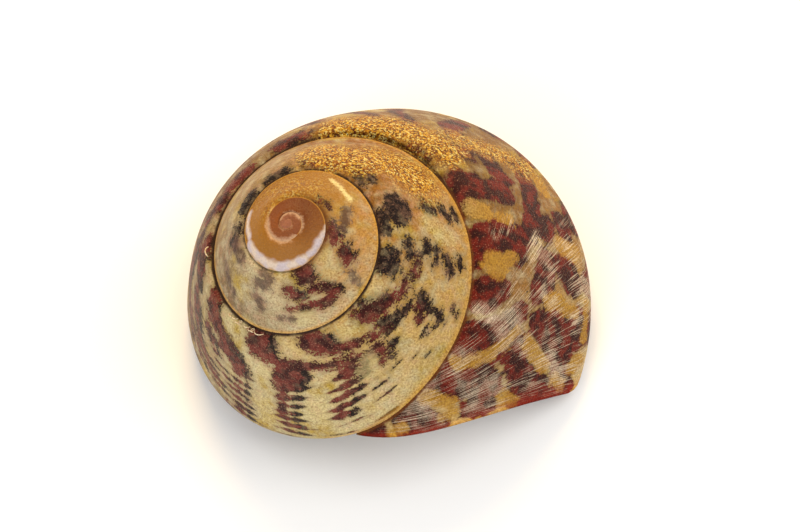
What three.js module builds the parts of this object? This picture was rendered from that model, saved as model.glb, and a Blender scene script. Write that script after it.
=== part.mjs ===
// Top shell: one piece of shell, whorls wound in a widening spiral round one axis, hollow behind the mouth.
// It lies on its base and lip, as a picked-up shell comes to rest. Units are millimetres, +Z is up.
import * as THREE from "three";

// Seam between the whorls. Turns are counted along it from the first full whorl.
const SEAM_RADIUS = 0.666; // distance from the shell's axis at turn 0
const GROWTH = [0.988, -0.0578, -0.004]; // in the exponent, per turn, turn squared and turn cubed
const DROP = [0.0733, 0.1605, -0.0049]; // depth below the apex, per radius, radius squared and radius cubed
const LAST_TURN = 3.232; // where the seam meets the lip
const SLIDE = { share: 0.11, turn: 3.25, width: 0.07 }; // of the base, by which the seam slides under the widest line

// Whorl in cross-section. Lengths are shares of the chord from its own seam to the seam below it.
const SHOULDER = { reach: 0.191, angle: 50.2 }; // how the face leaves the upper seam
const PERIPHERY = { above: 0.392, below: 0.415, angle: 9.4 }; // how it turns over at the widest point
const RIM_RADIUS = 0.13; // rim of the umbilicus, as a share of the whorl's own radius
const RIM_RISE = 0.29; // its height above the lower seam
const RIM_ROUNDING = { out: 0.08, down: 0.58 }; // how the base turns up into it

// Growth lines lean back from the seam to the periphery, and further back under the base.
const LEAN = 0.16; // turns by which the periphery trails the seam
const LEAN_EVEN = 0.0486; // the part of the lean that is spread evenly over the face
const LEAN_EARLY = { turns: 0.1314, length: 0.343 }; // a part that fades in over this share of the face
const LEAN_START = { turns: 0.02, length: 0.1 }; // taken off again, so that the line leaves the seam squarely
const BASE_LEAN = [0.0965, 0.0033]; // added under the base, per way squared and way cubed
const BASE_WAY = 1.6; // length of the base, in lengths of the face

// Wall and hollow.
const WALL = 0.125; // thickness, as a share of the whorl's chord
const LIP_EDGE = 0.045; // the same at the lip
const LIP_NOSE = 0.1; // mm, by which the lip's middle stands ahead of its edges
const LIP_BEVEL_ROWS = 6; // over which it grows to the full wall
const GLAZE = 0.12; // mm, thin layer inside the mouth, over the whorl before
const HOLLOW_TURNS = 1.2; // how far back the hollow goes, along the seam
const HOLLOW_ROWS = 42;
const CLOSING_ROWS = 8; // over which it narrows to its end
const CLOSED_SHARE = 0.3; // of its width, left at the end

// Fineness of the surface.
const ROWS_PER_TURN = 50;
const ROWS = 225;
const FACE_COLUMNS = 8; // from the seam to the periphery
const BASE_COLUMNS = 12; // from the periphery to the umbilicus
const NAVEL_COLUMNS = 3; // up the inner wall of the umbilicus
const CURVE_STEPS = 300;
const TRIM_STEP = 0.1; // columns, when the hollow's walls are trimmed where they meet

// Pose at rest, in degrees.
const AXIS_TILT = 14.9; // of the shell's axis from the vertical
const AXIS_HEADING = -164.1; // side to which the apex leans, from +X
const AXIS_SPIN = 148.7; // turn of the mouth round the axis

const SHIFT = Math.round(ROWS_PER_TURN * (1 - LEAN)); // rows from one whorl to the next at one point of the seam
const RIM_COLUMN = FACE_COLUMNS + BASE_COLUMNS;
const LAST_COLUMN = RIM_COLUMN + NAVEL_COLUMNS;

// Radius and height of the widest line of the whorl before, where the seam lies but for its last part.
function seam(turn) {
  const r = SEAM_RADIUS * Math.exp(turn * (GROWTH[0] + turn * (GROWTH[1] + turn * GROWTH[2])));
  return new THREE.Vector2(r, -r * (DROP[0] + r * (DROP[1] + r * DROP[2])));
}

function heading(degrees, length) {
  const a = THREE.MathUtils.degToRad(degrees);
  return new THREE.Vector2(Math.cos(a), Math.sin(a)).multiplyScalar(length);
}

// The face of a whorl: x along the chord, y outwards.
const UPPER = new THREE.Vector2(0, 0), LOWER = new THREE.Vector2(1, 0);
const FACE = new THREE.CubicBezierCurve(
  UPPER,
  UPPER.clone().add(heading(SHOULDER.angle, SHOULDER.reach)),
  LOWER.clone().sub(heading(-PERIPHERY.angle, PERIPHERY.above)),
  LOWER,
);
FACE.arcLengthDivisions = CURVE_STEPS;

// The chord of the whorl at a turn from its upper edge, and the direction across it.
function frameFrom(upper, turn) {
  const lower = seam(turn + 1), chord = lower.clone().sub(upper);
  return { upper, lower, chord, across: new THREE.Vector2(-chord.y, chord.x), length: chord.length() };
}

// Near the lip the seam has slid a little way down the base of the whorl before.
function slide(turn) {
  return SLIDE.share * Math.exp(-(((turn - SLIDE.turn) / SLIDE.width) ** 2));
}
function frameAt(turn) {
  const before = frameFrom(seam(turn - 1), turn - 1);
  return frameFrom(baseCurve(before).getPoint(slide(turn)), turn);
}

// The base, from the lower seam to the rim of the umbilicus.
function baseCurve({ lower, chord, across, length }) {
  const rim = new THREE.Vector2(RIM_RADIUS * lower.x, lower.y + RIM_RISE * length);
  const before = rim.clone().add(new THREE.Vector2(RIM_ROUNDING.out, -RIM_ROUNDING.down).multiplyScalar(length));
  const turned = heading(-PERIPHERY.angle, PERIPHERY.below);
  const past = lower.clone().addScaledVector(chord, turned.x).addScaledVector(across, turned.y);
  return new THREE.CubicBezierCurve(lower, past, before, rim);
}

// The wall of the umbilicus, from the rim up to the rim of the whorl before.
function navelCurve(turn, base) {
  const rim = base.v3, upperRim = baseCurve(frameAt(turn - 1)).v3;
  const third = rim.distanceTo(upperRim) / 3;
  const leaving = rim.clone().addScaledVector(rim.clone().sub(base.v2).normalize(), third);
  return new THREE.CubicBezierCurve(rim, leaving, upperRim.clone().lerp(rim, 1 / 3), upperRim);
}

// Cross-section of the whorl at a turn: radius and height of every column. Where a later whorl covers the
// start of the base, the columns of the face reach that far down it.
function sectionAt(turn, slid = 0) {
  const frame = frameAt(turn), base = baseCurve(frame), navel = navelCurve(turn, base);
  const place = (p) => frame.upper.clone().addScaledVector(frame.chord, p.x).addScaledVector(frame.across, p.y);
  const pointAt = (way) => (way <= 1 ? place(FACE.getPointAt(way)) : base.getPoint(way - 1));
  const points = [];
  for (let k = 0; k <= FACE_COLUMNS; k++) points.push(pointAt((k / FACE_COLUMNS) * (1 + slid)));
  for (let k = 1; k <= BASE_COLUMNS; k++) points.push(base.getPoint(slid + (1 - slid) * (k / BASE_COLUMNS)));
  for (let k = 1; k <= NAVEL_COLUMNS; k++) points.push(navel.getPoint(k / NAVEL_COLUMNS));
  return points;
}

// Turns by which a column trails the seam on the same growth line. Up the wall of the umbilicus the line
// comes forward again, so that it ends on the rim of the whorl before.
function lean(column) {
  if (column > RIM_COLUMN) return lean(RIM_COLUMN) - (LEAN * (column - RIM_COLUMN)) / NAVEL_COLUMNS;
  const under = Math.max(0, (BASE_WAY * (column - FACE_COLUMNS)) / BASE_COLUMNS);
  const way = Math.min(column / FACE_COLUMNS, 1) + under;
  const fadedIn = ({ turns, length }) => (turns * (1 - Math.exp(-way / length))) / (1 - Math.exp(-1 / length));
  return fadedIn(LEAN_EARLY) + LEAN_EVEN * way - fadedIn(LEAN_START)
    + under * under * (BASE_LEAN[0] + BASE_LEAN[1] * under);
}

function rowTurn(row) {
  return LAST_TURN + (row - ROWS) / ROWS_PER_TURN;
}

// The whorls are right-handed: seen from the apex they grow clockwise.
function around(turn, { x: r, y: z }) {
  const angle = -2 * Math.PI * turn;
  return new THREE.Vector3(r * Math.cos(angle), r * Math.sin(angle), z);
}

// A point of the shell's outside: rows are growth lines, columns run down the whorl.
function wallPoint(row, column) {
  const turn = rowTurn(row) - lean(column);
  return around(turn, sectionAt(turn, slide(rowTurn(row) + 1 - LEAN))[column]);
}

function distanceToLine(point, line) {
  let least = Infinity;
  for (let k = 1; k < line.length; k++) {
    const a = line[k - 1], along = line[k].clone().sub(a);
    const share = THREE.MathUtils.clamp(point.clone().sub(a).dot(along) / along.lengthSq(), 0, 1);
    least = Math.min(least, point.distanceTo(a.clone().addScaledVector(along, share)));
  }
  return least;
}

// A point beside a line of columns, so far to its outer side. The column need not be whole.
function beside(line, column, distance) {
  const k = Math.min(Math.floor(column), line.length - 2), part = column - k;
  const tangentAt = (c) => line[Math.min(c + 1, line.length - 1)].clone().sub(line[Math.max(c - 1, 0)]).normalize();
  const tangent = tangentAt(k).lerp(tangentAt(k + 1), part).normalize();
  return line[k].clone().lerp(line[k + 1], part).add(new THREE.Vector2(-tangent.y, tangent.x).multiplyScalar(distance));
}

// The hollow's two sides in a cross-section: within the whorl's own wall, and over the glaze on the whorl
// before. Each is trimmed where it meets the other wall.
function hollowSides(turn, thicknessShare) {
  const own = sectionAt(turn), before = sectionAt(turn - 1).slice(FACE_COLUMNS, RIM_COLUMN + 1);
  const thickness = thicknessShare * frameAt(turn).length;
  const ownSide = (c) => beside(own, c, -thickness);
  const farSide = (c) => beside(before, c, GLAZE);
  const trim = (side, other, clear, start, end) => {
    const step = TRIM_STEP * Math.sign(end - start);
    let c = start;
    while (Math.abs(end - c) > TRIM_STEP && distanceToLine(side(c + step), other) > clear) c += step;
    return c;
  };
  const first = trim(ownSide, before, GLAZE, FACE_COLUMNS, 0);
  const last = trim(ownSide, before, GLAZE, FACE_COLUMNS, LAST_COLUMN);
  const farFirst = trim(farSide, own, thickness, BASE_COLUMNS / 2, 0);
  const farLast = trim(farSide, own, thickness, BASE_COLUMNS / 2, BASE_COLUMNS);
  return { ownSide, farSide, first, last, farFirst, farLast };
}

// The columns of a ring round the hollow: down the whorl's own wall, then back along the whorl before.
const RING = [];
for (let c = 0; c <= LAST_COLUMN; c++) RING.push({ column: c, onWhorlBefore: false });
for (let c = RIM_COLUMN - 1; c > FACE_COLUMNS; c--) RING.push({ column: c, onWhorlBefore: true });

// A point of the hollow at a turn, for a column of the ring.
function hollowPoint(turn, { column, onWhorlBefore }, thicknessShare) {
  const sides = hollowSides(turn, thicknessShare);
  if (!onWhorlBefore) {
    const own = THREE.MathUtils.mapLinear(column, 0, LAST_COLUMN, sides.first, sides.last);
    return sides.ownSide(own);
  }
  return sides.farSide(THREE.MathUtils.mapLinear(column, FACE_COLUMNS, RIM_COLUMN, sides.farFirst, sides.farLast));
}

// One ring of points round the hollow, so many rows behind the lip. The first follows the lip's growth line,
// and the last lies in one plane with the shell's axis.
function hollowRing(fromLip) {
  const thicknessShare = LIP_EDGE + (WALL - LIP_EDGE) * Math.sqrt(Math.min(1, fromLip / LIP_BEVEL_ROWS));
  const back = fromLip / HOLLOW_ROWS;
  const ring = RING.map((at) => {
    const trail = lean(at.column) - (at.onWhorlBefore ? LEAN : 0);
    const turn = LAST_TURN - trail * (1 - back) - HOLLOW_TURNS * back;
    return around(turn, hollowPoint(turn, at, thicknessShare));
  });
  const closing = Math.max(0, 1 - (HOLLOW_ROWS - fromLip) / CLOSING_ROWS);
  const share = CLOSED_SHARE + (1 - CLOSED_SHARE) * Math.sqrt(1 - closing * closing);
  const middle = middleOf(ring);
  return ring.map((p) => p.lerp(middle, 1 - share));
}

function middleOf(ring) {
  const sum = new THREE.Vector3();
  ring.forEach((p) => sum.add(p));
  return sum.divideScalar(ring.length);
}

// The mesh is gathered by name, so that a point used twice is one vertex.
const positions = [], triangles = [], numbered = new Map();
function vertex(name, point) {
  if (!numbered.has(name)) {
    numbered.set(name, positions.length / 3);
    positions.push(...point().toArray());
  }
  return numbered.get(name);
}
function pointOf(v) {
  return new THREE.Vector3().fromArray(positions, 3 * v);
}
// A quad is cut along its shorter diagonal.
function quad(a, b, c, d) {
  if (pointOf(a).distanceTo(pointOf(c)) < pointOf(b).distanceTo(pointOf(d))) triangles.push(a, c, b, a, d, c);
  else triangles.push(a, d, b, b, d, c);
}
function fan(loop, centre) {
  loop.forEach((v, k) => triangles.push(v, centre, loop[(k + 1) % loop.length]));
}
function strip(loop, next) {
  loop.forEach((v, k) => {
    const after = (k + 1) % loop.length;
    quad(v, loop[after], next[after], next[k]);
  });
}

// Where a whorl joins the one before, both use the same vertex.
function wall(row, column) {
  if (column === 0 && row >= SHIFT) return wall(row - SHIFT, FACE_COLUMNS);
  if (column === LAST_COLUMN) return wall(row - SHIFT, RIM_COLUMN);
  return vertex(`wall ${row} ${column}`, () => wallPoint(row, column));
}

function addOutside() {
  const firstBare = ROWS - SHIFT; // from this row on, the base is not covered by a later whorl
  for (let row = 0; row < ROWS; row++) {
    const columns = row < firstBare ? FACE_COLUMNS : LAST_COLUMN;
    for (let c = 0; c < columns; c++)
      quad(wall(row, c), wall(row, c + 1), wall(row + 1, c + 1), wall(row + 1, c));
  }

  // The apex closes inside the first whorl's seam.
  const dome = [];
  for (let row = 0; row < SHIFT; row++) dome.push(wall(row, 0));
  for (let c = FACE_COLUMNS; c > 0; c--) dome.push(wall(0, c));
  fan(dome, vertex("apex", () => new THREE.Vector3(0, 0, 0)));

  // The umbilicus closes on the axis, one whorl up.
  const pit = [];
  for (let c = LAST_COLUMN - 1; c >= RIM_COLUMN; c--) pit.push(wall(firstBare, c));
  for (let row = firstBare - 1; row >= firstBare - SHIFT; row--) pit.push(wall(row, RIM_COLUMN));
  const { z } = wallPoint(firstBare - SHIFT, RIM_COLUMN);
  fan(pit, vertex("pit", () => new THREE.Vector3(0, 0, z)));
}

// From the lip's outer edge over a rounded nose to its inner edge, then back into the hollow.
function addMouth() {
  const edge = RING.map(({ column, onWhorlBefore }) => wall(onWhorlBefore ? ROWS - SHIFT : ROWS, column));
  const rings = [];
  for (let fromLip = 0; fromLip <= HOLLOW_ROWS; fromLip++) rings.push(hollowRing(fromLip));
  const nose = RING.map(({ column, onWhorlBefore }, k) => vertex(`nose ${k}`, () => {
    const row = onWhorlBefore ? ROWS - SHIFT : ROWS;
    const outer = wallPoint(row, column);
    const ahead = outer.clone().sub(wallPoint(row - 1, column)).normalize();
    const reach = onWhorlBefore ? 0 : LIP_NOSE;
    return outer.lerp(rings[0][k], 0.5).addScaledVector(ahead, reach);
  }));
  const hollow = rings.map((ring, n) => ring.map((p, k) => vertex(`hollow ${n} ${k}`, () => p)));
  strip(edge, nose);
  strip(nose, hollow[0]);
  hollow.slice(1).forEach((ring, n) => strip(hollow[n], ring));
  fan(hollow.at(-1), vertex("hollow end", () => middleOf(rings.at(-1))));
}

addOutside();
addMouth();
const geometry = new THREE.BufferGeometry();
geometry.setAttribute("position", new THREE.Float32BufferAttribute(positions, 3));
geometry.setIndex(triangles);
geometry.computeVertexNormals();

const shellMaterial = new THREE.MeshStandardMaterial({ color: 0x9a7a4a, roughness: 0.45, metalness: 0 });
const shell = new THREE.Mesh(geometry, shellMaterial);
shell.name = "shell";

// Spin about the shell's own axis, then lean it, then turn the lean to its side.
const spun = new THREE.Group(), leaned = new THREE.Group(), group = new THREE.Group();
shell.rotation.z = THREE.MathUtils.degToRad(AXIS_SPIN);
leaned.rotation.y = THREE.MathUtils.degToRad(AXIS_TILT);
spun.rotation.z = THREE.MathUtils.degToRad(AXIS_HEADING);
group.add(spun.add(leaned.add(shell)));

// The origin is on the floor, under the middle of the shell.
group.updateMatrixWorld(true);
const box = new THREE.Box3().setFromObject(shell, true);
spun.position.set(-(box.min.x + box.max.x) / 2, -(box.min.y + box.max.y) / 2, -box.min.z);

export default group;
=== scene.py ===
from functools import partial, reduce
import bpy
import numpy as np
from mathutils import Matrix, Vector


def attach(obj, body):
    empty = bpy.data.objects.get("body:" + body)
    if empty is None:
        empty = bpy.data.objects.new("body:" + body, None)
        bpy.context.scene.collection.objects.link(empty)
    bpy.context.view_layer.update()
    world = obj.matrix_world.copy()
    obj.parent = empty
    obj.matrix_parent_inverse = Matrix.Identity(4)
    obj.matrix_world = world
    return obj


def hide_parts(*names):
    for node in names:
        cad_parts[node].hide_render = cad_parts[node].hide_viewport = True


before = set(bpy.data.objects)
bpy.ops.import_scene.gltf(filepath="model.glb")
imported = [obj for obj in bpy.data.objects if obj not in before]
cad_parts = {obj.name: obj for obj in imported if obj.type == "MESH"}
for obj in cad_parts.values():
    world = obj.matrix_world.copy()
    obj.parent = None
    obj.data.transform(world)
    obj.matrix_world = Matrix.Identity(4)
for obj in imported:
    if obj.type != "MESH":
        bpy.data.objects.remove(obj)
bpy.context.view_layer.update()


# The shell: one piece, nearly all lime, that the snail laid down at its growing lip, whorl on whorl round one
# axis, with a thin layer of mother-of-pearl inside. It lies loose on its base and lip.

# Lengths are in mm until the mesh is placed. Rows of the mesh are growth lines, each with its age in turns.
# Columns run round with the whorls, each with its way down them: 0 at the seam above, 1 at the widest line,
# 2 at the rim of the umbilicus (the pit under the axis) and 3 at the top of its wall.
FIRST_TURN, LAST_TURN = -2.268, 3.232  # the tip of the shell, and where the seam meets the lip
SEAM_RADIUS = 0.666  # distance from the axis at turn 0
GROWTH = (0.988, -0.0578, -0.004)  # in the exponent, per turn, turn squared and turn cubed
DROP = (0.0733, 0.1605, -0.0049)  # depth below the tip, per radius, radius squared and radius cubed
SHOULDER = (0.191, 50.2)  # how the face leaves the seam: share of the chord, degrees
ABOVE_EDGE, BELOW_EDGE, EDGE_ANGLE = 0.392, 0.415, -9.4  # how the whorl turns over at its widest line
RIM_RADIUS, RIM_RISE, RIM_ROUNDING = 0.13, 0.29, 0.08 - 0.58j  # rim of the umbilicus, in shares of the whorl
SLIDE_SHARE, SLIDE_TURN, SLIDE_WIDTH = 0.11, 3.25, 0.07  # the seam slides under the widest line near the lip
LEAN = 0.16  # turns by which a growth line's widest point trails its start
LEAN_EVEN = 0.0486  # the part of the lean that is spread evenly
LEAN_EARLY, EARLY_LENGTH = 0.1314, 0.343  # the part that comes early on the way down
LEAN_START, START_LENGTH = 0.02, 0.1  # taken off again, so that the line leaves the seam squarely
BASE_LEAN = (0.0965, 0.0033)  # added under the base, per way squared and way cubed
BASE_WAY = 1.6  # length of the base, in lengths of the face
ROWS_PER_TURN = 250
SHIFT = round(ROWS_PER_TURN * (1 - LEAN))  # rows from one whorl to the next at one point of the seam
ROWS = round(ROWS_PER_TURN * (LAST_TURN - FIRST_TURN))


def seam(turn):
    """Seam between the whorls as radius + 1j * height: the radius grows as the exponential of a cubic in the
    turn, and the depth is a cubic in the radius."""
    r = SEAM_RADIUS * np.exp(turn * (GROWTH[0] + turn * (GROWTH[1] + turn * GROWTH[2])))
    return r - 1j * r * (DROP[0] + r * (DROP[1] + r * DROP[2]))


def bezier(a, b, c, d, t):
    """Cubic Bezier curve: the four points weighted with the Bernstein polynomials of t."""
    s = 1 - t
    return s ** 3 * a + 3 * s * s * t * b + 3 * s * t * t * c + t ** 3 * d


def turned(length, degrees):
    """A step of a length in a direction, as a complex number."""
    return length * np.exp(1j * np.radians(degrees))


def face_curve(t):
    """Face of a whorl, from the seam above (0) to the seam below (1): a Bezier curve over the chord."""
    return bezier(0, turned(*SHOULDER), 1 - turned(ABOVE_EDGE, EDGE_ANGLE), 1, t)


def face_at(way):
    """The face, evenly spaced by length: its parameter is read off the running length of 300 steps."""
    t = np.linspace(0, 1, 301)
    run = np.concatenate([[0], np.cumsum(np.abs(np.diff(face_curve(t))))])
    return face_curve(np.interp(way, run / run[-1], t))


def base_points(turn, upper):
    """The four Bezier points of the base, from the widest point to the rim of the umbilicus."""
    lower = seam(turn + 1)
    chord = lower - upper
    rim = RIM_RADIUS * lower.real + 1j * (lower.imag + RIM_RISE * np.abs(chord))
    return lower, lower + chord * turned(BELOW_EDGE, EDGE_ANGLE), rim + RIM_ROUNDING * np.abs(chord), rim


def slide(turn):
    """Share of the base by which the seam has slid below the widest line: a bell curve over the turns."""
    return SLIDE_SHARE * np.exp(-((turn - SLIDE_TURN) / SLIDE_WIDTH) ** 2)


def upper_edge(turn):
    """Where a whorl starts: on the widest line of the one before, or as far below it as the seam has slid."""
    return bezier(*base_points(turn - 1, seam(turn - 1)), slide(turn))


def whorl(turn, way):
    """Cross-section of the whorl: face for way 0 to 1, base to 2, wall of the umbilicus to 3, as
    radius + 1j * height."""
    upper = upper_edge(turn)
    face = upper + (seam(turn + 1) - upper) * face_at(np.clip(way, 0, 1))
    lower, past, before, rim = base_points(turn, upper)
    base = bezier(lower, past, before, rim, np.clip(way - 1, 0, 1))
    upper_rim = base_points(turn - 1, seam(turn - 1))[3]
    out = (rim - before) / np.abs(rim - before)
    leaving = rim + out * np.abs(rim - upper_rim) / 3
    wall = bezier(rim, leaving, upper_rim + (rim - upper_rim) / 3, upper_rim, np.clip(way - 2, 0, 1))
    return np.where(way <= 1, face, np.where(way <= 2, base, wall))


def lean(way):
    """Turns by which a growth line trails the seam: fast at first, then evenly, further under the base, and
    back up the wall of the umbilicus."""
    under = BASE_WAY * np.clip(way - 1, 0, 1)
    run = np.clip(way, 0, 1) + under
    early = LEAN_EARLY * (1 - np.exp(-run / EARLY_LENGTH)) / (1 - np.exp(-1 / EARLY_LENGTH))
    start = LEAN_START * (1 - np.exp(-run / START_LENGTH))
    base = under ** 2 * (BASE_LEAN[0] + BASE_LEAN[1] * under)
    return early + LEAN_EVEN * run - start + base - LEAN * np.clip(way - 2, 0, 1)


def around(turn, section):
    """A section point carried round the axis to its turn: clockwise seen from the apex."""
    angle = -2 * np.pi * turn
    return np.stack([section.real * np.cos(angle), section.real * np.sin(angle), section.imag], -1)


# Low relief, in shares of the chord: a groove under the seam, deeper at two ages, and a worn rim at the tip.
GROOVE, DEEPER_GROOVE = 0.012, ((2.8, 0.04, 0.09), (2.5, 0.024, 0.12))  # age, depth and width in turns
GROOVE_WIDTH = 0.045
TIP_RIM, TIP_RIM_WAY, TIP_RIM_WIDTH = 0.022, 0.84, 0.13
TIP_RIM_AGE, TIP_RIM_TURNS = 0.1, 0.62


def bell(value, middle, width, power=2):
    """Bell curve: e to the minus of the distance from the middle in widths, raised to an even power."""
    return np.exp(-((value - middle) / width) ** power)


def outside(age, way):
    """The outside: the whorl's section at the growth line's age less its lean, with the groove and the rim as
    bell curves across the way, carried round the axis."""
    turn = age - lean(way)
    slid = slide(age + 1 - LEAN)
    way = np.where(way <= 1, way * (1 + slid), np.where(way <= 2, 2 - (2 - way) * (1 - slid), way))
    chord = seam(turn + 1) - seam(turn)
    depth = GROOVE + sum(deeper * bell(age, place, width) for place, deeper, width in DEEPER_GROOVE)
    sunk = depth * bell(way, 0, GROOVE_WIDTH) * (way > 0) * turned(1, EDGE_ANGLE)
    raised = TIP_RIM * bell(way, TIP_RIM_WAY, TIP_RIM_WIDTH) * bell(age, TIP_RIM_AGE, TIP_RIM_TURNS, 4) * 1j
    return around(turn, whorl(turn, way) + chord * (sunk + raised))


def crowded(count, amount):
    """Steps from 0 to 1, closer together at both ends: a straight line less a share of a sine."""
    u = np.linspace(0, 1, count + 1)
    return u - amount * np.sin(2 * np.pi * u) / (2 * np.pi)


face_ways = crowded(44, 0.85)
base_ways = 1 + np.linspace(0, 1, 29)[1:]
wall_ways = 2 + np.linspace(0, 1, 9)[1:]
under_ways = np.concatenate([base_ways, wall_ways])
ages = FIRST_TURN + np.arange(ROWS + 1) / ROWS_PER_TURN
face_grid = outside(ages[:, None], face_ways[None, :])
under_ages = ages[ROWS - SHIFT:]
under_grid = outside(under_ages[:, None], under_ways[None, :-1])
rim_line = outside(ages[ROWS - 2 * SHIFT:ROWS - SHIFT], np.full(SHIFT, 2.0))

# The hollow: the whorl's own wall on one side, and on the other a thin glaze over the whorl before.
HOLLOW_TURNS = 1.2  # how far back it goes
RINGS = 84
GLAZE = 0.12
LIP_EDGE, WALL = 0.045, 0.125  # thickness at the lip and behind it, as shares of the chord
LIP_BEVEL = 1 / 7  # share of the hollow over which the wall grows to its full thickness
LIP_NOSE = 0.1  # by which the lip's middle stands ahead of its edges
CLOSING_SHARE, CLOSED_WIDTH = 8 / 42, 0.3  # last share of the hollow, over which it narrows to this width


def beside(turn, way, distance):
    """A point of the section moved square to it: outwards for a positive distance."""
    step = 1e-3
    along = whorl(turn, np.minimum(way + step, 3)) - whorl(turn, np.maximum(way - step, 0))
    return whorl(turn, way) + 1j * distance * along / np.abs(along)


def least_distance(points, line):
    """Distance from each point to a line of points, both along the last axis."""
    a, ab = line[..., None, :-1], np.diff(line)[..., None, :]
    rel = points[..., :, None] - a
    t = np.clip((rel * ab.conj()).real / np.abs(ab) ** 2, 0, 1)
    return np.abs(rel - t * ab).min(-1)


def hollow_ends(turns, thickness):
    """For each turn, the ways between which the hollow's own side and its far side are clear of each other:
    from the middle of each, the first way to either side that comes too near the other."""
    own_ways, far_ways = np.linspace(0, 3, 301), np.linspace(1, 2, 101)
    t = turns[:, None]
    own, before = whorl(t, own_ways[None, ::3]), whorl(t - 1, far_ways[None, ::3])
    own_clear = least_distance(beside(t, own_ways[None, :], -thickness), before) > GLAZE
    far_clear = least_distance(beside(t - 1, far_ways[None, :], GLAZE), own) > thickness

    def run(clear, middle, ways):
        """Both ends of the clear ways round the middle one."""
        low = np.where(clear[:, :middle].all(1), 0, middle - np.argmin(clear[:, :middle][:, ::-1], 1))
        high = np.where(clear[:, middle:].all(1), len(ways) - 1, middle + np.argmin(clear[:, middle:], 1) - 1)
        return ways[low], ways[high]

    return run(own_clear, 100, own_ways) + run(far_clear, 50, far_ways)


ring_ways = np.concatenate([face_ways, under_ways, base_ways[::-1][1:]])
on_own = np.arange(len(ring_ways)) < len(face_ways) + len(under_ways)


def hollow_ring(from_lip):
    """Points round the hollow, from the lip's growth line (0) to the plane end of the hollow (1)."""
    share = LIP_EDGE + (WALL - LIP_EDGE) * np.sqrt(min(1, from_lip / LIP_BEVEL))
    trailing = lean(ring_ways) - np.where(on_own, 0, LEAN)
    turn = LAST_TURN - trailing * (1 - from_lip) - HOLLOW_TURNS * from_lip
    knots = np.linspace(turn.min(), turn.max(), 9)
    thickness = share * np.abs(seam(knots + 1) - seam(knots))[:, None]
    ends = hollow_ends(knots, thickness)
    first, last, far_first, far_last = (np.interp(turn, knots, end) for end in ends)
    own_way = first + (last - first) * ring_ways / 3
    own = beside(turn, own_way, -share * np.abs(seam(turn + 1) - seam(turn)))
    far = beside(turn - 1, far_first + (far_last - far_first) * (ring_ways - 1).clip(0, 1), GLAZE)
    ring = around(turn, np.where(on_own, own, far))
    closing = max(0, 1 - (1 - from_lip) / CLOSING_SHARE)
    middle = ring.mean(0)
    return middle + (ring - middle) * (CLOSED_WIDTH + (1 - CLOSED_WIDTH) * np.sqrt(1 - closing ** 2))


rings = np.stack([hollow_ring(k) for k in np.linspace(0, 1, RINGS)])

# One mesh: where a whorl joins the one before, both use the same vertices. The id arrays hold vertex numbers,
# and the three tips close the small end of the face, the umbilicus and the hollow.
face_id = np.arange(face_grid.shape[0] * face_grid.shape[1]).reshape(face_grid.shape[:2])
face_id[SHIFT:, 0] = face_id[:-SHIFT, -1]
start = face_grid[..., 0].size
under_id = start + np.arange(under_grid[..., 0].size).reshape(under_grid.shape[:2])
start += under_grid[..., 0].size
rim_id = start + np.arange(SHIFT)
start += SHIFT
joined = np.append(rim_id, under_id[0, len(base_ways) - 1])
under_id = np.concatenate([face_id[ROWS - SHIFT:, -1:], under_id, joined[:, None]], 1)
edge_id = np.concatenate([face_id[-1], under_id[-1, 1:], under_id[0, len(base_ways) - 1:0:-1]])
edge_ages = np.where(on_own, LAST_TURN, LAST_TURN - (1 - LEAN))
edge_points = outside(edge_ages, ring_ways)
ahead = edge_points - outside(edge_ages - 0.02, ring_ways)
ahead /= np.linalg.norm(ahead, axis=-1, keepdims=True)
nose = (edge_points + rings[0]) / 2 + ahead * np.where(on_own, LIP_NOSE, 0)[:, None]
ring_id = start + np.arange((RINGS + 1) * len(ring_ways)).reshape(RINGS + 1, -1)
start += ring_id.size
ring_id = np.concatenate([edge_id[None], ring_id])
tips = np.array([[0, 0, 0], [0, 0, rim_line[0, 2]], rings[-1].mean(0)])
points = np.concatenate([face_grid.reshape(-1, 3), under_grid.reshape(-1, 3), rim_line, nose,
                         rings.reshape(-1, 3), tips])


def quads(ids):
    """The four corners of every cell of a grid of vertex numbers."""
    return np.stack([ids[:-1, :-1], ids[1:, :-1], ids[1:, 1:], ids[:-1, 1:]], -1).reshape(-1, 4)


def fan(loop, tip):
    """Triangles from every side of a closed loop to a tip."""
    return np.stack([loop, np.full(len(loop), tip), np.roll(loop, -1)], -1)


ring_closed = np.concatenate([ring_id, ring_id[:, :1]], 1)
apex_loop = np.concatenate([face_id[:SHIFT, 0], face_id[0, :0:-1]])
pit_loop = np.concatenate([under_id[0, -2:len(base_ways) - 1:-1], rim_id[::-1]])
triangles = np.concatenate([fan(apex_loop, start), fan(pit_loop, start + 1), fan(ring_id[-1], start + 2)])

# Each corner of a face knows the age of its growth line and its way down the whorl.
ring_ages = np.linspace(0, -HOLLOW_TURNS, RINGS + 1)[:, None] + edge_ages
ring_ages = np.concatenate([ring_ages[:1], ring_ages])
grids = [(face_id, ages[:, None], face_ways), (under_id, under_ages[:, None], np.append(1, under_ways)),
         (ring_closed[:, ::-1], np.concatenate([ring_ages, ring_ages[:, :1]], 1)[:, ::-1],
          np.append(ring_ways, ring_ways[0])[::-1])]
corner_ids, corner_ages, corner_ways = [], [], []
for ids, grid_ages, grid_ways in grids:
    cells = quads(np.arange(ids.size).reshape(ids.shape))
    corner_ids.append(ids.ravel()[cells].ravel())
    corner_ages.append(np.broadcast_to(grid_ages, ids.shape).ravel()[cells].ravel())
    corner_ways.append(np.broadcast_to(grid_ways, ids.shape).ravel()[cells].ravel())
fan_corners = 3 * np.array([len(apex_loop), len(pit_loop), len(ring_id[-1])])
corner_ids.append(triangles.ravel())
corner_ages.append(np.repeat([FIRST_TURN, ages[-SHIFT], LAST_TURN], fan_corners))
corner_ways.append(np.repeat([0, 3, 1], fan_corners))
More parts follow.
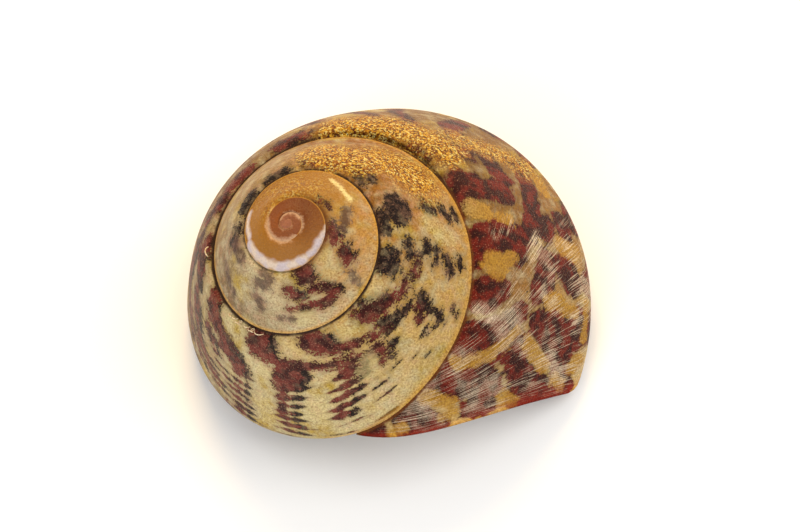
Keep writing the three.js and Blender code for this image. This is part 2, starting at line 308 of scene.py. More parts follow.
corner_ids, corner_ages, corner_ways = map(np.concatenate, (corner_ids, corner_ages, corner_ways))
quad_count = (len(corner_ids) - triangles.size) // 4

# Painted marks by kind, each as its half width and the points (age, way) of its middle line.
MARKS = {
    "maroon": [
        (0.37, (2.6, 0.17), (2.604, 0.09), (2.628, 0.09), (2.648, 0.09), (2.652, 0.07)),
        (0.32, (2.704, 0.09), (2.728, 0.11), (2.744, 0.11)),
        (0.23, (2.788, 0.09), (2.808, 0.11), (2.824, 0.11)),
        (0.14, (2.868, 0.09), (2.884, 0.06)),
        (0.42, (2.532, 0.17), (2.544, 0.14), (2.54, 0.07)),
        (0.42, (2.456, 0.07), (2.468, 0.17), (2.452, 0.2), (2.444, 0.26), (2.452, 0.34)),
        (0.4, (2.585, 0.2), (2.6, 0.33), (2.615, 0.48), (2.625, 0.6)),
        (0.2, (2.59, 0.6), (2.585, 0.72), (2.575, 0.85)),
        (0.23, (2.572, 0.7), (2.556, 0.7), (2.536, 0.66)),
        (0.56, (2.94, 0.11), (2.964, 0.17)),
        (0.42, (2.944, 0.06), (2.944, 0.09)),
        (0.28, (2.996, 0.5), (3.008, 0.5), (3.02, 0.5)),
        (0.28, (2.992, 0.26), (3.008, 0.34), (3.028, 0.42)),
        (0.28, (3.036, 0.83), (3.048, 0.74), (3.06, 0.66), (3.072, 0.58), (3.076, 0.5)),
        (0.51, (3.004, 0.09), (3.032, 0.23), (3.064, 0.38)),
        (0.32, (3.068, 0.34), (3.072, 0.34)),
        (0.23, (3, 0.03), (3.008, 0.03)),
        (0.19, (3.088, 0.74), (3.092, 0.66)),
        (0.23, (3.096, 0.89), (3.108, 0.89)),
        (0.46, (3.06, 0.09), (3.072, 0.17)),
        (0.23, (3.06, 0.06), (3.072, 0.11)),
        (0.42, (3.112, 0.62), (3.124, 0.58), (3.128, 0.54)),
        (0.42, (3.128, 0.8), (3.144, 0.86)),
        (0.46, (3.16, 0.58), (3.168, 0.74), (3.18, 0.89)),
        (0.42, (3.18, 0.7), (3.188, 0.83)),
        (0.37, (3.176, 0.94), (3.188, 0.93)),
        (0.42, (3.096, 0.06), (3.112, 0.14), (3.124, 0.23)),
        (0.28, (3.1, 0.03), (3.116, 0.11)),
        (0.19, (3.128, 0.26), (3.128, 0.34), (3.128, 0.38)),
        (0.42, (3.14, 0.07), (3.156, 0.17), (3.168, 0.26)),
        (0.37, (3.152, 0.06), (3.164, 0.14)),
        (0.32, (3.156, 0.34), (3.152, 0.38), (3.172, 0.46)),
        (0.46, (3.188, 0.5), (3.204, 0.58), (3.224, 0.77)),
        (0.28, (3.22, 0.58), (3.232, 0.74), (3.232, 0.86)),
        (0.32, (3.196, 0.77), (3.212, 0.89)),
        (0.28, (3.212, 0.34), (3.216, 0.42)),
        (0.23, (3.176, 0.2), (3.196, 0.34), (3.196, 0.38)),
        (0.37, (3.176, 0.03), (3.192, 0.09)),
        (0.32, (3.196, 0.06), (3.208, 0.14), (3.22, 0.23)),
        (0.19, (3.224, 0.02), (3.224, 0.05)),
        (0.19, (3.224, 0.14), (3.232, 0.23)),
        (0.19, (3.224, 0.95), (3.228, 0.93)),
        (0.56, (2.348, 0.06), (2.368, 0.14)),
        (0.37, (2.372, 0.17), (2.364, 0.2)),
        (0.19, (2.364, 0.23), (2.352, 0.26), (2.332, 0.26), (2.316, 0.3), (2.3, 0.34), (2.288, 0.38),
         (2.272, 0.38)),
        (0.46, (2.264, 0.07), (2.256, 0.11)),
        (0.37, (2.272, 0.11), (2.268, 0.17)),
        (0.19, (2.268, 0.2), (2.252, 0.23), (2.244, 0.26), (2.228, 0.3), (2.216, 0.34)),
        (0.68, (2.36, 0.3), (2.388, 0.42), (2.42, 0.58), (2.44, 0.74), (2.448, 0.86)),
        (0.66, (2.308, 0.46), (2.34, 0.58), (2.36, 0.66), (2.38, 0.77)),
        (0.5, (2.46, 0.3), (2.456, 0.34), (2.456, 0.42), (2.48, 0.58), (2.504, 0.8), (2.516, 0.97)),
        (0.14, (2.472, 0.95), (2.456, 0.95), (2.44, 0.94)),
        (0.12, (2.428, 0.83), (2.416, 0.89), (2.4, 0.91)),
        (0.14, (2.384, 0.8), (2.372, 0.86), (2.36, 0.91), (2.352, 0.94)),
        (0.42, (2.26, 0.46), (2.28, 0.54)),
        (0.23, (2.328, 0.77), (2.336, 0.77)),
        (0.19, (2.18, 0.23), (2.164, 0.26), (2.148, 0.3), (2.136, 0.34), (2.124, 0.38)),
        (0.23, (2.196, 0.5), (2.216, 0.58)),
        (0.37, (2.172, 0.14), (2.172, 0.2)),
        (0.28, (2.176, 0.09), (2.184, 0.14)),
        (0.23, (1.788, 0.07), (1.816, 0.11), (1.848, 0.14)),
        (0.37, (1.228, 0.07), (1.256, 0.2)),
        (0.23, (1.284, 0.38), (1.284, 0.5), (1.288, 0.62)),
        (0.23, (1.336, 0.3), (1.34, 0.38)),
        (0.16, (1.388, 0.58), (1.356, 0.58), (1.332, 0.66), (1.308, 0.66)),
        (0.28, (1.164, 0.38), (1.196, 0.5)),
        (0.23, (1.056, 0.11), (1.104, 0.2)),
        (0.08, (0.92, 0.1), (0.93, 0.12)),
        (0.08, (0.96, 0.14), (0.968, 0.16)),
    ],
    "black": [
        (0.14, (2.692, 0.06), (2.708, 0.05), (2.724, 0.05)),
        (0.14, (2.772, 0.03), (2.788, 0.03), (2.808, 0.03)),
        (0.28, (2.312, 0.66), (2.324, 0.7)),
        (0.23, (2.26, 0.54), (2.272, 0.54), (2.288, 0.58)),
        (0.19, (2.28, 0.66), (2.296, 0.66), (2.312, 0.7)),
        (0.12, (2.272, 0.74), (2.268, 0.83)),
        (0.14, (2.312, 0.77), (2.324, 0.77)),
        (0.65, (2.008, 0.23), (2.02, 0.23)),
        (0.28, (1.984, 0.09), (2.008, 0.06)),
        (0.32, (2.064, 0.58), (2.076, 0.62)),
        (0.23, (2.088, 0.77), (2.1, 0.8)),
        (0.19, (2.104, 0.93), (2.112, 0.93)),
        (0.6, (2.072, 0.09), (2.084, 0.11)),
        (0.19, (2.072, 0.26), (2.1, 0.3)),
        (0.28, (2.108, 0.46), (2.12, 0.5)),
        (0.23, (2.128, 0.58), (2.144, 0.58)),
        (0.23, (2.148, 0.7), (2.164, 0.74)),
        (0.16, (2.156, 0.86), (2.164, 0.86)),
        (0.19, (2.212, 0.38), (2.196, 0.38), (2.188, 0.42)),
        (0.28, (2.184, 0.5), (2.2, 0.54)),
        (0.23, (2.212, 0.7), (2.224, 0.77)),
        (0.19, (2.232, 0.7), (2.24, 0.7)),
        (0.14, (2.212, 0.86), (2.22, 0.89)),
        (0.37, (2.156, 0.09), (2.16, 0.14)),
        (0.32, (2.204, 0.3), (2.22, 0.34)),
        (0.37, (1.596, 0.09), (1.624, 0.07)),
        (0.32, (1.532, 0.17), (1.54, 0.11)),
        (0.23, (1.676, 0.06), (1.696, 0.05), (1.724, 0.06)),
        (0.42, (1.904, 0.17), (1.916, 0.14)),
    ],
    "lilac": [
        (0.32, (1.512, 0.14), (1.484, 0.17)),
        (0.28, (1.372, 0.09), (1.36, 0.14)),
        (0.28, (1.412, 0.23), (1.38, 0.2)),
        (0.28, (1.452, 0.46), (1.456, 0.58)),
        (0.19, (1.572, 0.54), (1.56, 0.62), (1.544, 0.7)),
        (0.14, (1.428, 0.74), (1.404, 0.74)),
        (0.19, (1.236, 0.66), (1.252, 0.77)),
        (0.24, (1.06, 0.48), (1.064, 0.38), (1.076, 0.27)),
    ],
    "yellow": [
        (0.37, (2.968, 0.09), (2.996, 0.17)),
        (0.23, (3.02, 0.26), (3.04, 0.34)),
        (0.51, (3.04, 0.14), (3.052, 0.17)),
        (0.23, (3.064, 0.26), (3.068, 0.3)),
        (0.32, (3.06, 0.91), (3.068, 0.89)),
        (0.42, (3.112, 0.8), (3.124, 0.93)),
        (0.32, (3.144, 0.62), (3.152, 0.74)),
        (0.23, (3.16, 0.77), (3.168, 0.89)),
        (0.14, (3.164, 1), (3.18, 1), (3.192, 1)),
        (0.23, (3.216, 0.83), (3.224, 0.91)),
        (0.28, (3.212, 0.95), (3.208, 1)),
        (0.19, (3.12, 0.05), (3.136, 0.11), (3.144, 0.2), (3.148, 0.26), (3.148, 0.34), (3.144, 0.38)),
        (0.28, (3.16, 0.03), (3.172, 0.09), (3.192, 0.2)),
        (0.32, (3.216, 0.5), (3.224, 0.58)),
        (0.23, (3.228, 0.11), (3.216, 0.11)),
        (0.19, (3.212, 0.23), (3.208, 0.26)),
        (0.28, (3.168, 0.5), (3.184, 0.58), (3.2, 0.7)),
        (0.37, (2.108, 0.06), (2.124, 0.06)),
        (0.51, (1.18, 0.2), (1.216, 0.34)),
        (0.37, (1.392, 0.77), (1.376, 0.83)),
        (0.32, (2.212, 0.14), (2.228, 0.14)),
        (0.42, (2.376, 0.58), (2.404, 0.77)),
        (0.37, (2.304, 0.54), (2.28, 0.46)),
        (0.37, (2.456, 0.66), (2.476, 0.89)),
        (0.37, (2.088, 0.58), (2.112, 0.66), (2.128, 0.77)),
    ],
    "striae": [
        (0.42, (3.088, 0.03), (3.096, 0.11), (3.096, 0.2), (3.096, 0.26), (3.092, 0.34), (3.092, 0.46),
         (3.088, 0.58)),
        (0.37, (3.024, 0.2), (3.044, 0.34)),
        (0.32, (3.068, 0.06), (3.092, 0.17)),
        (0.37, (3.116, 0.38), (3.116, 0.3), (3.12, 0.23)),
    ],
    # Golden crust, with painted glints of warm light on it.
    "gold_crust_and_glints": [
        (1.11, (1.848, 0.34), (1.9, 0.3), (1.976, 0.58), (2.032, 0.7)),
        (1.02, (2.792, 0.14), (2.848, 0.2), (2.892, 0.23), (2.928, 0.23)),
        (0.74, (2.964, 0.46), (3.004, 0.66), (3.04, 0.86)),
        (0.46, (0.776, 0.54), (0.836, 0.46), (0.9, 0.34)),
        (0.16, (0.62, 0.03), (0.76, 0.03), (0.9, 0.03)),
    ],
    "pearl": [
        (0.14, (0.712, 0.89), (0.676, 0.86), (0.624, 0.77)),
        (0.23, (0.592, 0.83), (0.54, 0.83), (0.488, 0.83), (0.444, 0.86)),
        (0.19, (0.444, 0.86), (0.384, 0.83), (0.328, 0.83)),
        (0.12, (0.328, 0.83), (0.272, 0.86), (0.212, 0.91), (1.016, 0.01)),
    ],
    "cream": [
        # The first is a painted highlight streak; the rest are the cream ridge along the spiral.
        (0.1, (0.98, 0.77), (1.008, 0.7), (1.048, 0.66)),
        (0.1, (0.62, 0), (0.5, 0), (0.4, 0), (0.3, 0), (0.2, 0), (0.1, 0)),
        (0.05, (0.1, 0), (0, 0), (-0.1, 0), (-0.2, 0), (-0.3, 0), (-0.45, 0), (-0.6, 0)),
        (0.1, (-0.3, 1), (-0.4, 1), (-0.5, 1), (-0.6, 1), (-0.7, 1), (-0.8, 1), (-0.9, 1)),
        (0.05, (-0.9, 1), (-1, 1), (-1.1, 1), (-1.2, 1), (-1.35, 1), (-1.5, 1), (-1.7, 1)),
    ],
    "hole": [
        (0.09, (3.116, 0.42), (3.117, 0.42)),
    ],
}

# Flames of the same manner on the far side and on the base, and a dark margin on the older maroon marks.
MARGIN_UNTIL, MARGIN_WIDTH, MARGIN_SHIFT = 2.6, 0.85, (-0.01, 0.03)
chance = np.random.default_rng(7)
for age in np.arange(2.5, 2.98, 0.052):
    a, b, c = age + chance.uniform(-0.012, 0.012, 3)
    MARKS["maroon"].append((chance.uniform(0.25, 0.5), (a, 0.34), (b, 0.6), (c, 0.85)))
for age in np.arange(2.4, 3.23, 0.05):
    a, b, c = age + chance.uniform(-0.012, 0.012, 3)
    MARKS["maroon"].append((chance.uniform(0.25, 0.45), (a, 1.04), (b, 1.25), (c, 1.45)))
    MARKS["maroon"].append((chance.uniform(0.12, 0.25), (c + 0.02, 1.52), (b + 0.03, 1.66), (a + 0.02, 1.8)))
for half_width, *path in MARKS["maroon"]:
    if path[0][0] < MARGIN_UNTIL:
        MARKS["black"].append((half_width * MARGIN_WIDTH, *(np.array(path) + MARGIN_SHIFT)))


def painted(marks, spots, spot_ages):
    """How deep each spot lies inside the marks of one kind: the half width less the distance to the mark's
    line, at most over the marks that start within 0.4 turns of the spot's age, and -1.5 far from all."""
    depth = np.full(len(spots), -1.5)
    for half_width, *path in marks:
        line = outside(*np.array(path).T)
        near = np.abs(spot_ages - path[0][0]) < 0.4
        along = np.diff(line, axis=0)
        rel = spots[near][:, None] - line[:-1]
        t = np.clip((rel * along).sum(-1) / (along * along).sum(-1), 0, 1)
        away = np.linalg.norm(rel - t[..., None] * along, axis=-1).min(1)
        depth[near] = np.maximum(depth[near], half_width - away)
    return depth


# How it lies on its base and lip: the lean of the axis, the side it leans to, and the turn of the mouth.
tilt, heading, spin = np.radians([14.9, -164.1, 148.7])
APEX = Vector((-3.7716, -1.2182, 12.4814))
place = Matrix.Translation(APEX) @ Matrix.Rotation(heading, 4, "Z") @ Matrix.Rotation(tilt, 4, "Y") \
    @ Matrix.Rotation(spin, 4, "Z")
matrix = np.array(place)
used, corner_vertices = np.unique(corner_ids, return_inverse=True)
world = (points[used] @ matrix[:3, :3].T + matrix[:3, 3]) / 1000

corner_counts = np.where(np.arange(quad_count + len(triangles)) < quad_count, 4, 3)
mesh = bpy.data.meshes.new("shell_skin")
mesh.vertices.add(len(used))
mesh.loops.add(len(corner_vertices))
mesh.polygons.add(len(corner_counts))
mesh.vertices.foreach_set("co", world.ravel())
mesh.loops.foreach_set("vertex_index", corner_vertices.ravel().astype(np.int32))
mesh.polygons.foreach_set("loop_start", np.cumsum(np.append(0, corner_counts[:-1])).astype(np.int32))
mesh.polygons.foreach_set("use_smooth", np.ones(len(corner_counts), bool))
mesh.update(calc_edges=True)

# Attributes and the UV map "growth" (length round the whorls, length down the whorl) carry the pattern.
FACE_LENGTH, MEAN_RADIUS = 1.05, 1.5  # of the face in chords, and of the whorl in radii of its seam
lengths = np.cumsum(np.append(0, 2 * np.pi * MEAN_RADIUS * seam(ages[1:]).real / ROWS_PER_TURN))
downs = corner_ways * np.abs(seam(corner_ages + 1) - seam(corner_ages)) * FACE_LENGTH
growth = np.stack([np.interp(corner_ages, ages, lengths), downs], -1)
mesh.uv_layers.new(name="growth").data.foreach_set("uv", growth.ravel())
fields = {kind: painted(marks, points[corner_ids], corner_ages) for kind, marks in MARKS.items()}

# Below its upper third, one side of the last whorl but one has its marks broken up into columns of dashes.
DASH_AGE, DASH_TURNS, DASH_SPACING, DASH_DEPTH = 2.4, 0.15, 0.56, 0.42
dashes = bell(corner_ages, DASH_AGE, DASH_TURNS, 4) * np.clip(corner_ways * 6 - 2.2, 0, 1)
for kind in ("maroon", "black"):
    fields[kind] -= DASH_DEPTH * dashes * (1 + np.cos(2 * np.pi * downs / DASH_SPACING))

# Painted shade lies wider in the seam at the two ages at which the groove is deeper.
wider_seam_shade = 0.24 * bell(corner_ages, 2.8, 0.08) + 0.12 * bell(corner_ages, 2.53, 0.12)
fields |= {"age": corner_ages, "way": corner_ways, "from_seam": downs - wider_seam_shade}
for name, values in fields.items():
    mesh.attributes.new(name, "FLOAT", "CORNER").data.foreach_set("value", values.astype(np.float32))


def in_scene(name, data):
    """An object that holds the data, linked to the scene."""
    made = bpy.data.objects.new(name, data)
    bpy.context.scene.collection.objects.link(made)
    return made


def new_material(name):
    """A material with its node tree and its surface shader."""
    made = bpy.data.materials.new(name)
    made.use_nodes = True
    return made, made.node_tree, made.node_tree.nodes["Principled BSDF"]


def tint(red, green, blue):
    """An sRGB colour of 0 to 255 as the linear colour that a shader takes."""
    return (*(np.array([red, green, blue]) / 255) ** 2.2, 1)


def add(kind, *inputs, output=0, **settings):
    """A shader node of the current tree: each input in turn is linked, set, or left alone where it is None."""
    made = tree.nodes.new("ShaderNode" + kind)
    for name, value in settings.items():
        setattr(made, name, value)
    for socket, value in zip(made.inputs, inputs):
        if isinstance(value, bpy.types.NodeSocket):
            tree.links.new(value, socket)
        elif value is not None:
            socket.default_value = value
    return made.outputs[output]


def calc(operation, *values):
    return add("Math", *values, operation=operation)


def plus(*values):
    return reduce(partial(calc, "ADD"), values)


def times(*values):
    return reduce(partial(calc, "MULTIPLY"), values)


def minus(first, second):
    return calc("SUBTRACT", first, second)


def larger(first, second):
    return calc("MAXIMUM", first, second)


def scaled(vector, *factors):
    return add("VectorMath", vector, factors, operation="MULTIPLY")


def in_mm():
    """Place on the object, in mm."""
    return scaled(add("TexCoord", output=3), 1000, 1000, 1000)


def along_growth(*factors):
    """The UV map growth, with its two lengths multiplied by factors: a small factor draws the pattern out."""
    return scaled(add("UVMap", uv_map="growth"), *factors, 0)


def noise(vector, size, detail=2.0):
    """Smooth noise round zero whose features are about the size given, in the vector's own unit."""
    return minus(add("TexNoise", vector, None, 1 / size, detail), 0.5)


def step(value, start, end):
    """Smooth rise from 0 where the value is at the start to 1 where it is at the end."""
    return add("MapRange", value, start, end, interpolation_type="SMOOTHSTEP")


def mix(amount, first, second, kind="MIX"):
    return add("MixRGB", amount, first, second, blend_type=kind)


def field(name):
    return add("Attribute", output=2, attribute_name=name)


def ramp(value, stops):
    """Colours blended along a value from 0 to 1, from a list of (place, colour)."""
    made = add("ValToRGB", value).node
    for place, colour in stops[1:-1]:
        made.color_ramp.elements.new(place)
    for element, (place, colour) in zip(made.color_ramp.elements, stops):
        element.position = place
        element.color = colour
    return made.outputs[0]


def relief(height, strength, distance):
    """Fine relief on the shader, from a height and the metres that a height of 1 stands for."""
    bump = add("Bump").node
    bump.inputs["Strength"].default_value = strength
    bump.inputs["Distance"].default_value = distance
    tree.links.new(height, bump.inputs["Height"])
    tree.links.new(bump.outputs["Normal"], shader.inputs["Normal"])


shell = in_scene("shell_skin", mesh)
skin, tree, shader = new_material("shell_outside")
position = in_mm()
age, way = field("age"), field("way")
late = step(age, 2.85, 3.02)
broad, patchy, grain = noise(position, 1.5), noise(position, 0.6), noise(position, 0.09, 3.0)
streak, lines = noise(along_growth(1, 0.1), 0.11), noise(along_growth(0.2, 1), 0.3)

# Edges of the marks: grainy and drawn out round the whorl on the older whorls, smoother near the lip.
ragged = plus(times(noise(position, 0.45, 4.0), 0.7),
              times(streak, plus(0.15, times(late, 0.2))),
              times(lines, minus(0.6, times(late, 0.5))),
              times(grain, minus(1.0, times(late, 0.85))),
              0.07)

# Ground colour by age, in turns: rosy at the tip, then ochre, then pale on one side of each whorl and brown on
# the other, the brown partly painted shade. Clouds of yellow and of chalky grey lie over it, but not where the
# golden crust and its painted glints are.
gold_crust_and_glints = times(step(plus(field("gold_crust_and_glints"), times(patchy, 2.0)), -0.8, 0.5), 0.88)
clouded = times(step(age, 0.9, 1.15), minus(1.0, gold_crust_and_glints))
GROUND = [
    (-1.5, tint(156, 102, 76)), (-1.0, tint(134, 82, 56)), (-0.4, tint(140, 80, 38)),
    (0.0, tint(108, 58, 26)), (0.3, tint(160, 108, 52)), (0.6, tint(158, 106, 24)),
    (1.0, tint(166, 120, 52)), (1.2, tint(200, 150, 80)), (1.4, tint(196, 180, 140)),
    (1.55, tint(122, 100, 70)), (1.7, tint(148, 118, 66)), (1.9, tint(132, 84, 12)),
    (2.05, tint(164, 116, 56)), (2.2, tint(204, 166, 92)), (2.4, tint(204, 190, 140)),
    (2.6, tint(106, 82, 50)), (2.8, tint(138, 94, 20)), (2.975, tint(120, 86, 36)),
    (3.1, tint(150, 106, 52)), (3.23, tint(222, 188, 120))]
ground = ramp(calc("MULTIPLY_ADD", age, 0.2, 0.3), [(turn * 0.2 + 0.3, paint) for turn, paint in GROUND])
ground = mix(times(step(broad, 0.0, 0.2), clouded), ground, tint(176, 148, 64))
ground = mix(times(step(patchy, -0.1, 0.25), clouded, 0.6), ground, tint(192, 184, 150))

# Marks: black ones and maroon ones with a brown halo, then yellow and lilac ones over them.
maroon_depth = plus(field("maroon"), ragged, times(step(age, 2.9, 3.0), 0.3))
black_depth = plus(field("black"), ragged)
halo = larger(step(maroon_depth, -0.3, 0.0), step(black_depth, -0.3, 0.0))
colour = mix(times(halo, 0.45), ground, tint(118, 98, 62))
black_share = step(black_depth, -0.08, 0.08)
colour = mix(black_share, colour, tint(30, 16, 10))
maroon_share = step(maroon_depth, -0.06, 0.08)
maroon = mix(step(patchy, -0.1, 0.1), tint(56, 18, 14), mix(late, tint(108, 48, 40), tint(112, 34, 22)))
colour = mix(maroon_share, colour, maroon)
yellow_share = step(plus(field("yellow"), ragged, times(late, 0.06)), -0.08, 0.14)
yellow = mix(late, tint(204, 188, 130), tint(182, 138, 54))
colour = mix(times(yellow_share, plus(0.45, times(late, 0.42))), colour, yellow)
lilac_share = step(plus(field("lilac"), ragged), -0.1, 0.15)
colour = mix(times(lilac_share, 0.85), colour, tint(84, 62, 54))

# Dust: pale flecks on the dark marks, and a thin film on the rest.
dark = larger(maroon_share, times(black_share, 0.6))
flecks = step(noise(position, 0.07, 1.0), 0.1, 0.2)
colour = mix(times(flecks, dark, 0.38), colour, tint(190, 140, 112))
film = times(step(noise(position, 0.32, 5.0), -0.06, 0.16), clouded, step(age, 2.75, 2.6))
dust = mix(step(broad, -0.1, 0.1), tint(200, 152, 124), tint(216, 196, 150))
colour = mix(times(film, minus(0.3, times(dark, 0.22))), colour, dust)

# Pale scratches along the growth lines near the lip, and the lip's edge: orange, red where the marks cross it,
# and painted bright as a glow of light through the thin edge.
scratched = larger(step(field("striae"), -0.2, 0.2), times(step(age, 3.08, 3.12), 0.75))
scratches = step(plus(noise(along_growth(1, 0.035), 0.055), times(broad, 0.6)), 0.05, 0.1)
colour = mix(times(scratched, scratches, 0.8), colour, tint(236, 218, 188))
lip_colour = mix(maroon_share, tint(228, 164, 62), tint(150, 40, 20))
colour = mix(times(step(age, 3.218, 3.232), 0.7), colour, lip_colour)

# The widest line is painted orange, and painted shade lies in the seam below it.
orange_edge = times(step(way, 0.93, 0.99), calc("LESS_THAN", age, 2.42))
colour = mix(times(orange_edge, 0.6), colour, tint(214, 160, 66))
seam_shade = times(step(plus(field("from_seam"), times(patchy, 0.2)), 0.14, 0.0), step(age, 0.6, 1.8))
colour = mix(seam_shade, colour, mix(step(age, 2.88, 2.96), tint(52, 32, 16), tint(104, 58, 20)))

# The worn tip: a cream ridge along the spiral, a painted highlight streak in brighter cream, and
# mother-of-pearl showing at the rim.
cream_share = step(plus(field("cream"), times(grain, 0.2)), -0.12, 0.08)
cream = mix(step(age, 0.8, 0.95), tint(214, 176, 140), tint(255, 240, 170))
colour = mix(times(cream_share, 0.7), colour, cream)
pearl_share = step(plus(field("pearl"), times(patchy, 0.4)), -0.14, 0.1)
colour = mix(pearl_share, colour, mix(step(patchy, -0.1, 0.1), tint(226, 208, 190), tint(206, 194, 200)))

# The golden crust on the side that leans up, with painted glints of warm light in it: grains of every shade
# from rust to bright golden yellow.
grains = add("TexVoronoi", position, None, 13.0, output=1)
crust_and_glint_grains = ramp(add("SeparateColor", grains), [
    (0.0, tint(60, 20, 4)), (0.25, tint(128, 66, 8)), (0.5, tint(196, 132, 22)), (0.75, tint(248, 196, 60)),
    (1.0, tint(255, 246, 160))])
colour = mix(gold_crust_and_glints, colour, mix(plus(0.35, times(step(age, 1.2, 1.5), 0.5)), colour, crust_and_glint_grains))

# Painted shade under the seam of the small whorls, the pinhole painted as a dark spot of shade, the pale
# umbilicus, and a grain over everything.
tip_seam_shade = larger(times(step(age, 0.75, 0.95), step(age, 1.3, 1.1)),
                 times(step(age, -0.9, -0.8), step(age, -0.1, -0.25)))
colour = mix(times(step(way, 0.16, 0.0), tip_seam_shade, 0.75), colour, tint(96, 52, 28))
colour = mix(step(field("hole"), 0.0, 0.03), colour, tint(30, 20, 16))
colour = mix(times(step(way, 1.75, 1.95), 0.9), colour, tint(216, 208, 176))
grain_share = plus(0.6, times(grain, calc("MULTIPLY_ADD", step(age, 0.9, 1.3), 1.6, 0.6)))
colour = mix(grain_share, mix(1.0, colour, tint(168, 150, 130), "MULTIPLY"), colour)
tree.links.new(colour, shader.inputs["Base Color"])
shader.inputs["Specular IOR Level"].default_value = 0.12
roughness = minus(plus(0.45, times(grain, 0.5)), times(step(age, 1.15, 0.9), 0.25))
tree.links.new(roughness, shader.inputs["Roughness"])
height = plus(times(grain, plus(0.5, gold_crust_and_glints)), times(streak, plus(0.15, times(late, 0.6))))
relief(height, 0.8, 0.00012)
mesh.materials.append(skin)

# Inside the mouth the last layer is mother-of-pearl.
nacre, tree, shader = new_material("shell_inside")
position = in_mm()
sheen = ramp(plus(0.5, times(noise(position, 1.2), 2.0)), [
    (0.0, tint(196, 212, 196)), (0.35, tint(222, 218, 204)), (0.65, tint(226, 204, 204)),
    (1.0, tint(200, 208, 218))])
tree.links.new(sheen, shader.inputs["Base Color"])
tree.links.new(plus(0.22, times(noise(position, 0.3), 0.3)), shader.inputs["Roughness"])
relief(noise(along_growth(1, 0.1), 0.2), 0.3, 0.0001)
mesh.materials.append(nacre)
outer_count = sum((ids.shape[0] - 1) * (ids.shape[1] - 1) for ids in (face_id, under_id))
order = np.arange(len(corner_counts))
lip_faces = 3 * len(ring_ways)
inside = (order >= outer_count + lip_faces) & (order < quad_count) | (order >= len(order) - len(ring_id[-1]))
mesh.polygons.foreach_set("material_index", inside.astype(np.int32))
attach(shell, "root")
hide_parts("shell")


# Dirt threads: dry fibres of dirt, a few tenths of a millimetre long, that have caught in the seam. Each is a
# thin curled tube that lies on the shell.
def thread(age, reach, way, loops, curl, thickness):
    """A tube round a curled line. The line runs along the whorl over the reach in turns, and meanwhile circles
    with the radius curl, in the plane of that direction and the one away from the axis. The tube has eight
    sides, and its radius is the thickness, narrowed at both ends by a root of 1 less an eighth power."""
    t = np.linspace(0, 1, 41)
    middle = outside(age + reach * t, np.full(41, way))
    ahead = outside(age + reach * t + 0.002, np.full(41, way)) - middle
    ahead /= np.linalg.norm(ahead, axis=-1, keepdims=True)
    away = middle * (1, 1, 0)
    away /= np.linalg.norm(away, axis=-1, keepdims=True)
    turns = 2 * np.pi * loops * t[:, None] + age * 40  # each thread starts somewhere else on its circle
    lift = np.array([0, 0, 1]) * (thickness + curl * (1 + np.sin(turns)) * 0.9)
    line = middle + curl * (np.cos(turns) * ahead + (1 + np.sin(turns)) * away) + lift
    along = np.gradient(line, axis=0)
    along /= np.linalg.norm(along, axis=-1, keepdims=True)
    side = np.cross(along, ahead + away + (0, 0, 0.7))
    side /= np.linalg.norm(side, axis=-1, keepdims=True)
    across = np.cross(along, side)
    turn = np.linspace(0, 2 * np.pi, 9)[:-1, None, None]
    radius = thickness * np.sqrt(np.clip(1 - (2 * t - 1) ** 8, 0.04, 1))[:, None]
    return np.moveaxis(line + radius * (np.cos(turn) * side + np.sin(turn) * across), 0, 1)


# Each thread's age, reach, way, loops, curl and thickness.
fibre_points, fibre_faces = [], []
for values in ((2.401, -0.008, 0.016, 1.2, 0.08, 0.026), (2.388, -0.006, 0.012, 0.6, 0.07, 0.024),
               (2.377, -0.008, 0.010, 1.3, 0.11, 0.026), (2.362, -0.010, 0.012, 1.1, 0.07, 0.024),
               (2.351, -0.008, 0.012, 1.4, 0.10, 0.026), (2.341, -0.012, 0.016, 0.7, 0.10, 0.024),
               (2.515, -0.008, 0.020, 0.5, 0.12, 0.034)):
    tube = thread(*values)
    ids = len(fibre_points) * tube[..., 0].size + np.arange(tube[..., 0].size).reshape(tube.shape[:2])
    fibre_points.append(tube.reshape(-1, 3))
    fibre_faces += quads(np.concatenate([ids, ids[:, :1]], 1)).tolist()
    fibre_faces += [ids[0].tolist(), ids[-1, ::-1].tolist()]
fibre_world = (np.concatenate(fibre_points) @ matrix[:3, :3].T + matrix[:3, 3]) / 1000
fibre_mesh = bpy.data.meshes.new("dirt_threads")
fibre_mesh.from_pydata(fibre_world.tolist(), [], fibre_faces)
fibre_mesh.polygons.foreach_set("use_smooth", np.ones(len(fibre_faces), bool))
threads = in_scene("dirt_threads", fibre_mesh)
fibre, tree, shader = new_material("dirt_threads")
shader.inputs["Roughness"].default_value = 0.8
mottled = plus(0.5, times(noise(in_mm(), 0.08), 2.0))
tree.links.new(mix(mottled, tint(176, 140, 92), tint(240, 224, 190)), shader.inputs["Base Color"])
fibre_mesh.materials.append(fibre)
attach(threads, "root")


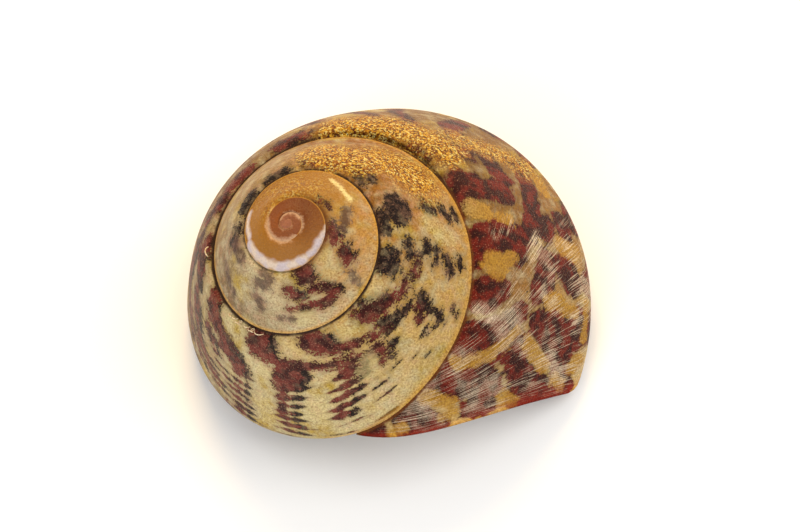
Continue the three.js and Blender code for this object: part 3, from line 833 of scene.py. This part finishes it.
# The floor: a plain pale matt sheet, one metre to each side, under the shell.
floor_mesh = bpy.data.meshes.new("floor")
floor_mesh.from_pydata([(-1, -1, 0), (1, -1, 0), (1, 1, 0), (-1, 1, 0)], [], [(0, 1, 2, 3)])
floor = in_scene("floor", floor_mesh)
pale, tree, shader = new_material("floor")
shader.inputs["Base Color"].default_value = (0.9, 0.9, 0.9, 1)
shader.inputs["Roughness"].default_value = 0.9
floor_mesh.materials.append(pale)


# The camera looks steeply down on the shell. Its directions in space and its place come from the photo's view.
right = Vector((0.9779, -0.1874, -0.0928)).normalized()
up = Vector((0.2092, 0.8763, 0.4341)).normalized()
back = right.cross(up)
DISTANCE = 0.185
eye = APEX / 1000 + 0.0052248 * right - 0.0020178 * up + DISTANCE * back
camera_data = bpy.data.cameras.new("camera")
camera_data.sensor_width = 36
camera_data.lens = 21.6 * 185 * 36 / 800  # 21.6 pixels to the millimetre, in an image 800 wide
camera_data.clip_start = 0.01
camera = in_scene("camera", camera_data)
camera.matrix_world = Matrix.LocRotScale(eye, Matrix((right, up, back)).transposed(), None)
bpy.context.scene.camera = camera

# Light: even white light from all round, a key lamp and a fill lamp, both large and soft, and a small warm one
# on the side of the golden crust.
bpy.context.scene.view_settings.view_transform = "Standard"
world_light = bpy.data.worlds.new("soft_studio")
world_light.use_nodes = True
world_light.node_tree.nodes["Background"].inputs["Color"].default_value = (1, 1, 1, 1)
world_light.node_tree.nodes["Background"].inputs["Strength"].default_value = 0.62
bpy.context.scene.world = world_light
# Each lamp's name, place from the shell's tip in metres, watts, width in metres and colour.
for name, place, watts, width, colour in (
        ("key", 0.14 * right + 0.1 * up + 0.2 * back, 0.34, 0.2, (1.0, 0.97, 0.92)),
        ("fill", -0.16 * right - 0.14 * up + 0.14 * back, 0.46, 0.25, (1.0, 0.98, 0.96)),
        ("warm", -0.02 * right + 0.22 * up + 0.04 * back, 0.5, 0.1, (1.0, 0.7, 0.3))):
    lamp_data = bpy.data.lights.new(name, "AREA")
    lamp_data.energy = watts
    lamp_data.size = width
    lamp_data.color = colour
    lamp = in_scene(name, lamp_data)
    lamp.location = APEX / 1000 + place
    lamp.rotation_euler = place.to_track_quat("Z", "Y").to_euler()
